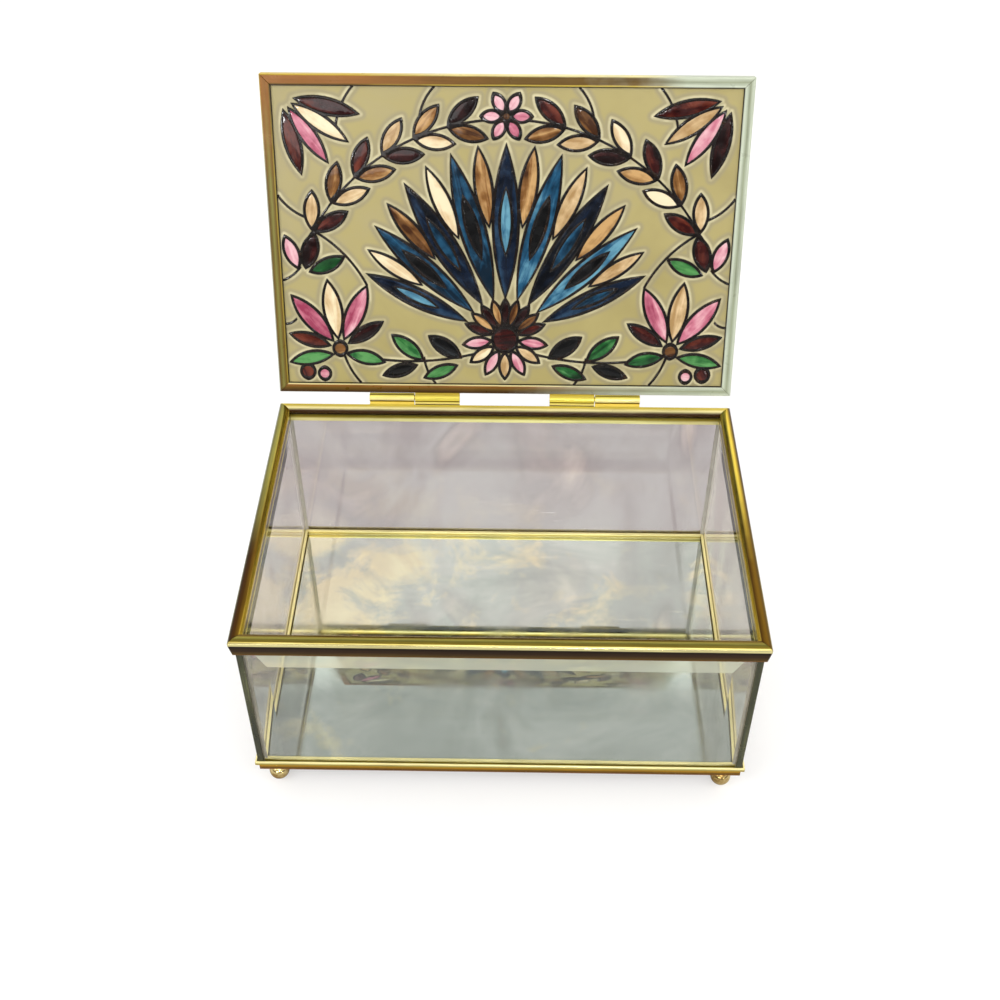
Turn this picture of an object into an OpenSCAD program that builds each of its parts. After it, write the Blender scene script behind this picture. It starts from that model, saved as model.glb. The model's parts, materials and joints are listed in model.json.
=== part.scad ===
// Glass casket: a bevelled glass box in brass sections, with a hinged stained-glass lid.
// The box stands on z = 0, its front faces -Y, and the lid stands open at its stop.

/* [Box] */
// Outer width of the brass rim round the mouth
box_w = 165; // [150:1:220]
// Outer depth of the brass rim round the mouth
box_d = 114; // [104:1:160]
// Height from the underside of the base to the top of the rim
body_h = 68; // [50:1:110]

/* [Glass walls] */
// Thickness of the glass walls
wall_t = 2.4; // [1.8:0.1:3.2]
// Width of the bevel up both sides of each wall's outer face
bevel_w = 7; // [4:0.5:10]
// Width of the bevel along the top of each wall, with what the rim covers
bevel_top_w = 12; // [7:0.5:14]
// Width of the bevel along the foot of each wall, with what the base covers
bevel_foot_w = 4; // [2.5:0.5:10]
// Glass that the bevels take off at the very edge
bevel_depth = 0.4; // [0.2:0.1:0.8]
// Room between glass and the brass or glass beside it
seat_gap = 0.05; // [0.02:0.01:0.12]
// Radius of the adhesive bead in each upright corner
bead_r = 1.2; // [0.6:0.1:2]

/* [Brass rim] */
// Thickness of the rim's skirt and leg
rim_sheet_t = 0.4; // [0.3:0.05:0.6]
// How far the rim's crest stands out past its slot for the glass
rim_over = 1.15; // [0.95:0.05:2]
// Height by which the rim's top is crowned
rim_crown = 0.9; // [0.5:0.1:1.1]
// Depth of the crest's upright face below the top
rim_crest = 1.9; // [1.4:0.1:2.2]
// Depth of the rim's outer skirt below the top
rim_skirt = 7; // [3.5:0.1:8]
// Depth of the rim's inner leg below the top
rim_leg = 5.6; // [3:0.1:7]
// Brass over the glass at the top of the rim's slot
rim_cap = 1; // [0.9:0.1:1.4]
// Gap at each mitre, as left between the sections before soldering
mitre_gap = 0.05; // [0.02:0.01:0.1]

/* [Base] */
// Full height of the brass base section
base_h = 5.2; // [4.8:0.1:7]
// Thickness of the lip that holds the foot of the glass
base_lip_t = 0.6; // [0.5:0.05:0.9]
// Thickness of the leg that stands inside the glass
base_leg_t = 0.9; // [0.5:0.1:1.2]
// Height of that leg above the mirror
base_leg_h = 1.9; // [1:0.1:3]
// How far the lower face steps in under the lip
base_step = 1; // [0.6:0.1:1.2]
// Thickness of the flange under the floor
flange_t = 0.8; // [0.6:0.1:1.2]
// Reach of the flange in from the lip's outer face
flange_reach = 9.5; // [8.5:0.5:14]
// Thickness of the mirror that makes the floor
mirror_t = 2; // [1.5:0.1:2.4]
// Thickness of the card under the mirror
backing_t = 0.5; // [0.3:0.1:0.8]
// Room round the mirror and its card
floor_gap = 0.1; // [0.1:0.05:0.4]

/* [Feet] */
// Diameter of the brass ball feet
foot_d = 6.8; // [6.6:0.1:8]
// Height of a foot below the base, where its top is soldered on
foot_h = 6.2; // [5:0.1:6.2]
// Diameter of the flat that each foot stands on
foot_flat_d = 2; // [1:0.2:2.4]
// Distance of each foot's centre from the base's lip at its side
foot_inset_x = 7; // [5.4:0.1:7.5]
// Distance of each foot's centre from the base's lip at its end
foot_inset_y = 3.3; // [3:0.1:7]

/* [Lid] */
// How far the lid's front edge stands back from the rim's
lid_setback = 1; // [0:0.5:4]
// Thickness of the folded sheet of the lid's channels
sheet_t = 0.6; // [0.4:0.05:0.8]
// Thickness of the lid's glass
lid_glass_t = 2.7; // [2:0.1:3.4]
// Width of the lid channels over the glass
lid_flange_w = 3.8; // [3:0.1:6]
// Gap between the lid and the rim when the lid is shut
lid_gap = 0.3; // [0.2:0.05:0.5]
// Angle that the lid opens, from shut to its stop
lid_open_angle = 108; // [95:1:115]

/* [Hinges] */
// Outer diameter of the hinge knuckles
knuckle_d = 3.4; // [3:0.1:4]
// Diameter of the hinge pins
pin_d = 1.6; // [1.2:0.1:1.8]
// Radial clearance of the pins in the knuckles
pin_clearance = 0.05; // [0.02:0.01:0.1]
// Length of each hinge over both knuckles
hinge_len = 33; // [24:1:40]
// Distance of each hinge's middle from the middle of the box
hinge_x = 33; // [22:1:48]
// Gap between the two knuckles of a hinge, and between moving and fixed brass
move_gap = 0.3; // [0.25:0.05:0.4]
// Height of the hinge axis above the rim's top
axis_rise = 1; // [0.8:0.1:1.4]
// Thickness of the leaf soldered under the rim
leaf_t = 0.9; // [0.7:0.05:1]
// Gap left at the stop when the lid is open
stop_gap = 0.25; // [0.2:0.05:0.3]

/* [Lid art] */
// Width of the black leading
lead_w = 1; // [0.7:0.1:1.4]
// Width of the lead lines that cross the ground
line_w = 0.8; // [0.5:0.1:1.2]
// Height of the leading above the lid glass
lead_h = 0.65; // [0.4:0.05:0.65]
// Height of the coloured inlays above the lid glass
inlay_h = 0.45; // [0.2:0.05:0.5]

/* [Hidden] */
$fa = 2;
$fs = 0.1;

// Where the glass stands, measured in from the rim's crest
glass_in = rim_over + seat_gap;
slot_w = wall_t + 2 * seat_gap;
rim_w = rim_over + slot_w + rim_sheet_t;
glass_w = box_w - 2 * glass_in;
glass_d = box_d - 2 * glass_in;
inner_w = glass_w - 2 * wall_t;
inner_d = glass_d - 2 * wall_t;

// The base section and what stands on it, measured up from its underside
base_w = box_w - 2 * (rim_over - base_lip_t);
base_d = box_d - 2 * (rim_over - base_lip_t);
under_glass = 0.1;
floor_top = flange_t + backing_t + mirror_t;
glass_seat = floor_top + under_glass;
glass_h = body_h - rim_cap - seat_gap - glass_seat;
floor_margin = base_lip_t + slot_w + base_leg_t + floor_gap;
foot_sink = foot_d / 2 - sqrt(pow(foot_d / 2, 2) - pow(foot_flat_d / 2, 2));

// The hinge axis, and the lid measured from it: x across, y along the lid, z out of its inner face
rim_top = foot_h + body_h;
hinge_off = knuckle_d / 2 + move_gap;
hinge_z = rim_top + axis_rise;
lid_d = box_d - lid_setback;
lid_t = lid_glass_t + 2 * (sheet_t + seat_gap);
lid_inner = axis_rise - lid_gap;
lid_outer = lid_inner - lid_t;
art_level = lid_inner - sheet_t - seat_gap;
lid_lean = 180 - lid_open_angle;

// The box is moved so that the origin lies under the middle of box and open lid together
lid_reach = max([
    for (y = [hinge_off, hinge_off + lid_d], z = [lid_inner, lid_outer])
        y * cos(lid_lean) - z * sin(lid_lean)
]);
rear_reach = box_d / 2 + hinge_off + max(lid_reach, knuckle_d / 2);
shift_y = (box_d / 2 - rear_reach) / 2;

brass = [0.84, 0.70, 0.32];
clear_glass = [0.80, 0.86, 0.84, 0.45];

// A 2D section (inward, up) run along X and cut to 45 degree mitres; its outer face is on y = 0
module mitred(length, depth) {
    tall = 40;
    half = length / 2 - mitre_gap;
    intersection() {
        rotate([90, 0, 90]) linear_extrude(length, center = true) children();
        linear_extrude(tall, center = true)
            polygon([[-half, 0], [half, 0], [half - depth, depth], [depth - half, depth]]);
    }
}

// Puts a mitred piece, or a wall, on one side of a rectangle of w by d
module on_front(d) {
    translate([0, -d / 2, 0]) children();
}
module on_back(d) {
    rotate(180) translate([0, -d / 2, 0]) children();
}
module on_left(w) {
    rotate(-90) translate([0, -w / 2, 0]) children();
}
module on_right(w) {
    rotate(90) translate([0, -w / 2, 0]) children();
}

module in_place() {
    translate([0, shift_y, 0]) children();
}
module on_base() {
    in_place() translate([0, 0, foot_h]) children();
}
module at_axis() {
    in_place() translate([0, box_d / 2 + hinge_off, hinge_z]) children();
}
module on_lid() {
    at_axis() rotate([lid_lean, 0, 0]) children();
}

// Glass walls

module edge_wedge(length, width) {
    over = 1.2;
    rotate([90, 0, 90]) linear_extrude(length, center = true)
        polygon([
            [(1 - over) * bevel_depth, (1 - over) * width],
            [over * bevel_depth, (1 - over) * width],
            [(1 - over) * bevel_depth, over * width]
        ]);
}

module wall(w) {
    color(clear_glass) translate([0, 0, glass_seat + glass_h / 2]) difference() {
        translate([-w / 2, 0, -glass_h / 2]) cube([w, wall_t, glass_h]);
        for (turn = [0:3]) {
            reach = turn % 2 == 0 ? glass_h / 2 : w / 2;
            width = [bevel_foot_w, bevel_w, bevel_top_w, bevel_w][turn];
            rotate([0, 90 * turn, 0]) translate([0, 0, -reach])
                edge_wedge(2 * max(w, glass_h), width);
        }
    }
}

module front_glass() {
    on_base() on_front(glass_d) wall(inner_w - 2 * seat_gap);
}
module back_glass() {
    on_base() on_back(glass_d) wall(inner_w - 2 * seat_gap);
}
module left_glass() {
    on_base() on_left(glass_w) wall(glass_d);
}
module right_glass() {
    on_base() on_right(glass_w) wall(glass_d);
}

// Adhesive in the corner where side is -1 on the left and end is -1 at the front
module corner_bead(side, end) {
    bottom = floor_top + base_leg_h + under_glass;
    top = body_h - rim_leg - under_glass;
    color([0.93, 0.92, 0.84]) on_base()
        translate([side * inner_w / 2, end * inner_d / 2, bottom]) scale([-side, -end, 1])
            linear_extrude(top - bottom) difference() {
                square(bead_r);
                translate([bead_r, bead_r]) circle(bead_r);
            }
}

// Floor

module floor_panel(bottom, thick) {
    w = base_w - 2 * floor_margin;
    d = base_d - 2 * floor_margin;
    on_base() translate([-w / 2, -d / 2, bottom]) cube([w, d, thick]);
}
module floor_mirror() {
    color([0.74, 0.78, 0.75]) floor_panel(flange_t + backing_t, mirror_t);
}
module floor_backing() {
    color([0.16, 0.14, 0.13]) floor_panel(flange_t, backing_t);
}

// Brass sections

module base_section() {
    ease = 0.25;
    leg_in = base_lip_t + slot_w;
    leg_top = floor_top + base_leg_h;
    polygon([
        [base_step, 0],
        [base_step, glass_seat - ease],
        [0, glass_seat + ease],
        [0, base_h - ease],
        [ease, base_h],
        [base_lip_t, base_h],
        [base_lip_t, glass_seat],
        [leg_in, glass_seat],
        [leg_in, leg_top],
        [leg_in + base_leg_t, leg_top],
        [leg_in + base_leg_t, flange_t],
        [flange_reach, flange_t],
        [flange_reach, 0]
    ]);
}
module base_channel(length) {
    color(brass) mitred(length, flange_reach) base_section();
}
module base_channel_front() {
    on_base() on_front(base_d) base_channel(base_w);
}
module base_channel_back() {
    on_base() on_back(base_d) base_channel(base_w);
}
module base_channel_left() {
    on_base() on_left(base_w) base_channel(base_d);
}
module base_channel_right() {
    on_base() on_right(base_w) base_channel(base_d);
}

// The rim's section, measured down from its top
module rim_section() {
    steps = 12;
    crown = [
        for (i = [0:steps]) let (t = i / steps) [t * rim_w, -rim_crown * pow(abs(2 * t - 1), 3)]
    ];
    polygon(concat(crown, [
        [rim_w, -rim_leg],
        [rim_w - rim_sheet_t, -rim_leg],
        [rim_w - rim_sheet_t, -rim_cap],
        [rim_over, -rim_cap],
        [rim_over, -rim_skirt],
        [rim_over - rim_sheet_t, -rim_skirt],
        [0, -rim_crest]
    ]));
}
module rim_channel(length) {
    color(brass) translate([0, 0, body_h]) mitred(length, rim_w) rim_section();
}
module rim_channel_front() {
    on_base() on_front(box_d) rim_channel(box_w);
}
module rim_channel_back() {
    on_base() on_back(box_d) rim_channel(box_w);
}
module rim_channel_left() {
    on_base() on_left(box_w) rim_channel(box_d);
}
module rim_channel_right() {
    on_base() on_right(box_w) rim_channel(box_d);
}

// Feet, where side is -1 on the left and end is -1 at the front
module foot(side, end) {
    x = side * (base_w / 2 - foot_inset_x);
    y = end * (base_d / 2 - foot_inset_y);
    color(brass) in_place() translate([x, y, 0]) intersection() {
        translate([0, 0, foot_d / 2 - foot_sink]) sphere(d = foot_d);
        translate([-foot_d, -foot_d, 0]) cube([2 * foot_d, 2 * foot_d, foot_h]);
    }
}

// Hinges: the box has the outer half of each and the lid the inner half

knuckle_len = (hinge_len - move_gap) / 2;
knuckle_mid = (hinge_len + move_gap) / 4;

module along_knuckle(length) {
    rotate([90, 0, 90]) linear_extrude(length, center = true) children();
}
module pin_bore() {
    along_knuckle(2 * hinge_len) circle(d = pin_d + 2 * pin_clearance);
}

// The leaf hugs the crest and the skirt of the rim and turns up into the knuckle
module box_leaf(side) {
    crest_y = -hinge_off;
    skirt_y = crest_y - (rim_over - rim_sheet_t);
    crest_top = -axis_rise - rim_crown;
    crest_foot = -axis_rise - rim_crest;
    skirt_foot = -axis_rise - rim_skirt;
    root = knuckle_d / 2 * 0.75;
    color(brass) at_axis() translate([side * (hinge_x + knuckle_mid), 0, 0]) difference() {
        union() {
            along_knuckle(knuckle_len) circle(d = knuckle_d);
            along_knuckle(knuckle_len) polygon([
                [crest_y, crest_top],
                [-root * cos(45), -root * sin(45)],
                [-root * cos(80), -root * sin(80)],
                [crest_y + leaf_t, crest_foot],
                [skirt_y + leaf_t, skirt_foot],
                [skirt_y, skirt_foot],
                [crest_y, crest_foot]
            ]);
        }
        pin_bore();
    }
}

// The lid's leaf backs the lid channel, and its heel meets the rim's crest when the lid is open
module lid_leaf(side) {
    heel_y = -hinge_off + stop_gap;
    heel_foot = -axis_rise - rim_crest;
    root = knuckle_d / 2 * 0.8;
    ease = 0.25;
    color(brass) at_axis() translate([side * (hinge_x - knuckle_mid), 0, 0]) difference() {
        union() {
            rotate([lid_lean, 0, 0]) along_knuckle(knuckle_len) {
                circle(d = knuckle_d);
                polygon([
                    [hinge_off, lid_inner - ease],
                    [hinge_off - leaf_t, lid_inner - ease],
                    [hinge_off - leaf_t, lid_outer / 2],
                    [hinge_off - ease, lid_outer + ease],
                    [hinge_off, lid_outer + ease]
                ]);
            }
            along_knuckle(knuckle_len) polygon([
                [heel_y, heel_foot],
                [heel_y, -axis_rise],
                [-root * cos(30), -root * sin(30)],
                [-root * cos(75), -root * sin(75)],
                [heel_y + leaf_t, heel_foot]
            ]);
        }
        pin_bore();
    }
}

module hinge_pin(side) {
    color([0.72, 0.60, 0.30]) at_axis() translate([side * hinge_x, 0, 0])
        along_knuckle(hinge_len) circle(d = pin_d);
}

// Lid

module lid_section() {
    ease = 0.3;
    difference() {
        polygon([
            [ease, 0],
            [lid_flange_w, 0],
            [lid_flange_w, lid_t],
            [ease, lid_t],
            [0, lid_t - ease],
            [0, ease]
        ]);
        translate([sheet_t, sheet_t]) square([lid_flange_w, lid_t - 2 * sheet_t]);
    }
}
module lid_channel(length) {
    color(brass) mitred(length, lid_flange_w) lid_section();
}
module on_lid_frame() {
    on_lid() translate([0, hinge_off + lid_d / 2, lid_outer]) children();
}
module lid_channel_front() {
    on_lid_frame() on_back(lid_d) lid_channel(box_w);
}
module lid_channel_back() {
    on_lid_frame() on_front(lid_d) lid_channel(box_w);
}
module lid_channel_left() {
    on_lid_frame() on_left(box_w) lid_channel(lid_d);
}
module lid_channel_right() {
    on_lid_frame() on_right(box_w) lid_channel(lid_d);
}
module lid_glass() {
    w = box_w - 2 * (sheet_t + seat_gap);
    d = lid_d - 2 * (sheet_t + seat_gap);
    color([0.67, 0.64, 0.47]) on_lid_frame()
        translate([-w / 2, -d / 2, sheet_t + seat_gap]) cube([w, d, lid_glass_t]);
}

// Lid art. A piece is [colour, x, y, heading, length, left bulge, right bulge, heart colour]:
// a pointed blade of glass whose root is at x, y and whose heading turns clockwise from straight up.
// The design is drawn on a field art_h high, from the middle of the hinge side, and fills the lid.

art_h = 104;
art_w = 1.5 * art_h;
art_edge = art_w / 2;
view_w = box_w - 2 * lid_flange_w;
view_d = lid_d - 2 * lid_flange_w;
art_scale = min(view_w / art_w, view_d / art_h);

// The brass round the lid glass, in the measure of the field
frame_x = view_w / 2 / art_scale;
frame_y = view_d / art_scale;
frame_gap = seat_gap / art_scale;

function blade(colour, x, y, heading, len, left, right, heart = "") =
    [colour, x, y, heading, len, left, right, heart];

function mirrored(pieces) =
    [for (p = pieces) [p[0], -p[1], p[2], -p[3], p[4], p[6], p[5], p[7]]];

function both_sides(pieces) = concat(pieces, mirrored(pieces));

// Blades spread like a fan about x, y, from the first heading to the last, colours taken in turn
function fan(x, y, first, last, n, start, len, bulge, colours, heart = "") = [
    for (i = [0:n - 1])
        let (h = n == 1 ? first : first + (last - first) * i / (n - 1))
            blade(colours[i % len(colours)], x + start * sin(h), y + start * cos(h),
                h, len, bulge, bulge, heart)
];

function boss(colour, x, y, r) = blade(colour, x, y - r, 0, 2 * r, r, r);

// A laurel wreath climbs to a rosette at the top on an arc about the foot of the palmette
palmette_y = 17;
wreath_room = 10;
wreath_r = art_h - palmette_y - wreath_room;
wreath_first = 14;
wreath_step = 9;
wreath_side_room = 11.5;
wreath_last = asin(min(1, (art_edge - wreath_side_room) / wreath_r));
wreath_colours = ["maroon", "amber", "cream"];
wreath = [
    for (i = [0:floor((wreath_last - wreath_first) / wreath_step)], side = [-1, 1])
        let (a = wreath_first + wreath_step * i, r = wreath_r + 1.1 * side)
            blade(wreath_colours[(i + (side < 0 ? 1 : 0)) % 3],
                r * sin(a), palmette_y + r * cos(a), a - 90 + 28 * side, 11.5, 2, 2)
];
rosette_y = palmette_y + wreath_r + 1;
rosette = concat(
    fan(0, rosette_y, 30, 330, 6, 2.3, 5.4, 1.45, ["pink"]),
    [boss("amber", 0, rosette_y, 1)]
);

// The palmette opens under the wreath, and its blades shrink away from the middle one
palmette_start = 16;
palmette_clear = 9;
palmette_len = wreath_r - palmette_clear - palmette_start;
palmette_step = 16;

function palmette_share(i) = 1 - 0.018 * i * i;

palmette = [
    for (i = [-4:4])
        let (h = palmette_step * i, k = palmette_share(i))
            blade(i % 2 == 0 ? "navy" : "teal",
                palmette_start * sin(h), palmette_y + palmette_start * cos(h), h,
                palmette_len * k, 3.9 * k, 3.9 * k, i % 2 == 0 ? "teal" : "black")
];
palmette_gaps = [
    for (i = [-4:3])
        let (h = palmette_step * (i + 0.5), k = palmette_share(i + 0.5),
            start = palmette_start + palmette_len * k / 2)
            blade(floor(abs(i + 0.5)) % 2 == 0 ? "amber" : "cream",
                start * sin(h), palmette_y + start * cos(h), h,
                palmette_len * k / 2, 2.5 * k, 2.5 * k)
];
palmette_foot = concat(
    [boss("maroon", 0, palmette_y, 4)],
    fan(0, palmette_y, -68, 68, 9, 5.8, 8.4, 1.15, ["maroon", "amber"]),
    fan(0, palmette_y, 98, 262, 7, 5.8, 8.4, 1.5, ["pink", "cream"])
);

// Tulips, leaves, buds and berries of the right half
tulip_x = art_edge - 19;
tulip_y = 13;
bud_x = art_edge - 8.5;
bud_y = 43.4;
spray = concat(
    [boss("amber", tulip_x, tulip_y, 1.9)],
    fan(tulip_x, tulip_y, -24, 40, 3, 4.6, 20, 2.7, ["pink", "cream", "pink"]),
    fan(tulip_x, tulip_y, -57, 73, 2, 4.6, 13, 1.8, ["maroon"]),
    [
        blade("green", tulip_x + 3.5, tulip_y - 2.5, 101, 14, 2.2, 1.6),
        blade("green", tulip_x - 3.2, tulip_y - 2.2, -103, 12, 1.6, 2.2),
        blade("black", 16.5, 10.5, 55, 12, 2.2, 2.2),
        blade("green", 18, 6.6, 112, 11, 1.7, 1.7),
        blade("green", 30, 9.6, 50, 12.5, 2.1, 2.1),
        blade("black", 32.5, 6.6, 108, 11, 1.7, 1.7),
        blade("maroon", bud_x, bud_y, -16, 11, 2.3, 2.3),
        blade("pink", bud_x + 3.1, bud_y - 0.2, 20, 10.5, 1.9, 1.9),
        blade("green", bud_x - 1.9, bud_y - 1.8, -66, 11.5, 2.2, 1.6),
        boss("maroon", art_edge - 7, 4.2, 2),
        boss("pink", art_edge - 13, 3.4, 1.6)
    ],
    fan(art_edge - 2.5, art_h - 2.5, 193, 257, 4, 6, 20, 2.1, ["maroon", "pink", "cream"])
);

ART = concat(palmette, palmette_gaps, palmette_foot, rosette, both_sides(wreath), both_sides(spray));

// Lead lines across the ground, as [x, y, heading, length, bulge to the left]
function line_between(x0, y0, x1, y1, bulge) =
    [x0, y0, atan2(x1 - x0, y1 - y0), norm([x1 - x0, y1 - y0]), bulge];

function wreath_line(a0, a1) = line_between(
    wreath_r * sin(a0), palmette_y + wreath_r * cos(a0),
    wreath_r * sin(a1), palmette_y + wreath_r * cos(a1),
    wreath_r * (1 - cos((a1 - a0) / 2)));

wreath_end_x = wreath_r * sin(wreath_last);
wreath_end_y = palmette_y + wreath_r * cos(wreath_last);
petal_tip_x = tulip_x - 10.5;
petal_tip_y = tulip_y + 23.3;
half_lines = [
    wreath_line(5, wreath_last),
    line_between(wreath_end_x, wreath_end_y, bud_x + 2, bud_y + 0.6, 1),
    line_between(7, 12.5, tulip_x - 1, tulip_y - 1.5, -3.6),
    line_between(frame_x, 22, tulip_x + 15, 24, 0.5),
    line_between(petal_tip_x, petal_tip_y, wreath_end_x, wreath_end_y, 2),
    line_between(frame_x, 68, wreath_end_x + 2, wreath_end_y + 4.5, 1),
    line_between(24, frame_y, 29, wreath_r + 18, 0.8),
    line_between(frame_x, 38, bud_x + 2, bud_y - 0.4, 0.6),
    line_between(25, 0, 29, 10, -0.8),
    line_between(tulip_x - 7, 0, tulip_x - 1, tulip_y - 1, -0.8),
    line_between(art_edge - 27, frame_y, art_edge - 21, art_h - 12, 1)
];
LINES = concat(half_lines, [for (l = half_lines) [-l[0], l[1], -l[2], l[3], -l[4]]]);

function bulge_radius(len, sag) = (len * len / 4 + sag * sag) / (2 * sag);

// Steps round a whole circle that give a chord of this length steps of its own
function arc_steps(len, r, steps = 20) = ceil(steps * 180 / asin(min(1, len / 2 / r)));

// The outline of a blade, grown all round by a margin
module blade_outline(p, grow = 0) {
    tip = 1.5 * grow;
    len = p[4] + 2 * tip;
    left = p[5] + grow;
    right = p[6] + grow;
    r1 = bulge_radius(len, left);
    r2 = bulge_radius(len, right);
    translate([p[1], p[2]]) rotate(-p[3]) translate([0, len / 2 - tip]) intersection() {
        translate([r1 - left, 0]) circle(r1, $fn = arc_steps(len, r1));
        translate([right - r2, 0]) circle(r2, $fn = arc_steps(len, r2));
    }
}

module lead_line(l, w) {
    sag = abs(l[4]);
    r = bulge_radius(l[3], sag);
    steps = arc_steps(l[3], r);
    translate([l[0], l[1]]) rotate(-l[2]) mirror([l[4] < 0 ? 1 : 0, 0]) intersection() {
        translate([r - sag, l[3] / 2]) difference() {
            circle(r + w / 2, $fn = steps);
            circle(r - w / 2, $fn = steps);
        }
        translate([-sag - w, 0]) square([sag + 2 * w, l[3]]);
    }
}

// The smaller blade set inside a blade that has a heart
function heart_of(p) =
    let (share = 0.42, start = 0.3 * p[4])
        [p[7], p[1] + start * sin(p[3]), p[2] + start * cos(p[3]), p[3],
            share * p[4], share * p[5], share * p[6], ""];

module on_art(thick) {
    on_lid() translate([0, hinge_off + lid_flange_w, art_level])
        linear_extrude(thick) scale(art_scale) children();
}

module inlays(colour, tint) {
    color(tint) on_art(inlay_h) {
        for (p = ART) {
            if (p[0] == colour) difference() {
                blade_outline(p);
                if (p[7] != "") blade_outline(heart_of(p), lead_w);
            }
            if (p[7] == colour) blade_outline(heart_of(p));
        }
    }
}

module lid_leading() {
    color([0.04, 0.04, 0.04]) on_art(lead_h) intersection() {
        translate([-frame_x + frame_gap, frame_gap])
            square([2 * (frame_x - frame_gap), frame_y - 2 * frame_gap]);
        union() {
            difference() {
                union() {
                    for (p = ART) blade_outline(p, lead_w);
                    for (l = LINES) lead_line(l, line_w);
                }
                for (p = ART) blade_outline(p);
            }
            for (p = ART) if (p[7] != "") difference() {
                blade_outline(heart_of(p), lead_w);
                blade_outline(heart_of(p));
            }
        }
    }
}

front_glass();
back_glass();
left_glass();
right_glass();
corner_bead(-1, -1);  // corner_bead_front_left
corner_bead(1, -1);  // corner_bead_front_right
corner_bead(-1, 1);  // corner_bead_back_left
corner_bead(1, 1);  // corner_bead_back_right
floor_mirror();
floor_backing();
base_channel_front();
base_channel_back();
base_channel_left();
base_channel_right();
rim_channel_front();
rim_channel_back();
rim_channel_left();
rim_channel_right();
foot(-1, -1);  // foot_front_left
foot(1, -1);  // foot_front_right
foot(-1, 1);  // foot_back_left
foot(1, 1);  // foot_back_right
box_leaf(-1);  // hinge_left_box_leaf
lid_leaf(-1);  // hinge_left_lid_leaf
hinge_pin(-1);  // hinge_left_pin
box_leaf(1);  // hinge_right_box_leaf
lid_leaf(1);  // hinge_right_lid_leaf
hinge_pin(1);  // hinge_right_pin
lid_channel_front();
lid_channel_back();
lid_channel_left();
lid_channel_right();
lid_glass();
lid_leading();
inlays("navy", [0.07, 0.13, 0.20]);  // inlays_navy
inlays("teal", [0.12, 0.33, 0.42]);  // inlays_teal
inlays("black", [0.05, 0.05, 0.05]);  // inlays_black
inlays("green", [0.20, 0.40, 0.18]);  // inlays_green
inlays("maroon", [0.27, 0.08, 0.09]);  // inlays_maroon
inlays("pink", [0.80, 0.52, 0.58]);  // inlays_pink
inlays("cream", [0.90, 0.83, 0.66]);  // inlays_cream
inlays("amber", [0.66, 0.44, 0.22]);  // inlays_amber
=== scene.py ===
import json
import math
import random

import bpy
from mathutils import Matrix, Vector
from mathutils.bvhtree import BVHTree

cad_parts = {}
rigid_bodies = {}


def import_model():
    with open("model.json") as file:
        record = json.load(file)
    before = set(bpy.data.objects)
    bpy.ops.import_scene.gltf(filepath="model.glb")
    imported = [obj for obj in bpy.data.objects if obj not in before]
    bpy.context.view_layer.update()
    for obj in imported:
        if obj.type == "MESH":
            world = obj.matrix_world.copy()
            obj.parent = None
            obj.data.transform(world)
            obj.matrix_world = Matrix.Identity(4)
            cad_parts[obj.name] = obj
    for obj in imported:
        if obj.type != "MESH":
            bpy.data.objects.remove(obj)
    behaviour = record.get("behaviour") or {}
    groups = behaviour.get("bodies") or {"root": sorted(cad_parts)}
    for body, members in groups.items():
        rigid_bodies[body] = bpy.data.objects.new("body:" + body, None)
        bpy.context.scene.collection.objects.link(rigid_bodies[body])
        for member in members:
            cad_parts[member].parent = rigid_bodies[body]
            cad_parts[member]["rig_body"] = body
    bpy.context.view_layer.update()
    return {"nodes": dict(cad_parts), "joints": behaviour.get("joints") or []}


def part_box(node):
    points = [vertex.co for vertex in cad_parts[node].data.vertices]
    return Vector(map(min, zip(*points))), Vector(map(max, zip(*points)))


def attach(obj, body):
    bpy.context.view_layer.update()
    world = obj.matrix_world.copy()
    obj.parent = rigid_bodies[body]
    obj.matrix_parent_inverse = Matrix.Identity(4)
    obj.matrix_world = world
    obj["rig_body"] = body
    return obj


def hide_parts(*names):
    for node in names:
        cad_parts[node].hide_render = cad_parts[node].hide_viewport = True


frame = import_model()

MM = 0.001
SIDES = ("front", "back", "left", "right")
CORNERS = ("front_left", "front_right", "back_left", "back_right")
HINGES = ("left", "right")
rng = random.Random(11)

# How far the hard edges of each kind of piece are rounded
RIM_ROUND, BASE_ROUND, LID_ROUND = 0.12 * MM, 0.1 * MM, 0.14 * MM
HINGE_ROUND, FOOT_ROUND = 0.08 * MM, 0.15 * MM
PANE_ROUND, MIRROR_ROUND = 0.08 * MM, 0.25 * MM
# The angles in degrees past which an edge is rounded, and under which a fold is shaded smooth
SHARP_FOLD, SHARP_FOOT, SHARP_KNUCKLE, SHARP_PANE = 28, 30, 32, 40
SOFT_MIRROR, SOFT_BRASS, SOFT_FOOT, SOFT_RELIEF = 30, 35, 40, 60
# Half the width of the flat that a ball foot stands on
FOOT_FLAT = 1.0 * MM
# How far each raised piece is let down before its top is rounded, and the steps of inset and rise
LEADING_DROP, LEADING_ROUND = 0.14 * MM, ((0.1 * MM, 0.1 * MM), (0.14 * MM, 0.04 * MM))
INLAY_DROP, INLAY_ROUND = 0.02 * MM, ((0.12 * MM, 0.08 * MM),)
# How far the inner face of the lid's plate is let down, and how deep under it that face's points lie
PLATE_DROP, PLATE_FACE = 0.02 * MM, 0.1 * MM
# The frosting on that face: its margin, the size of its cells, its thickness and its lift
FROST_MARGIN, FROST_CELL, FROST_THICK, FROST_LIFT = 0.2 * MM, 0.52 * MM, 0.04 * MM, 0.01 * MM
# How far from the leading its pale halo and its painted shadow fade out
HALO_REACH = 2.6 * MM
# The share of its normal past which a face counts as turned a way, and what tells a bevel's face
TURNED = 0.3
BEVEL_TURN = (0.95, 0.99995)
BEVEL_RISE = 0.01


# ---------------------------------------------------------------- where things are

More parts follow.
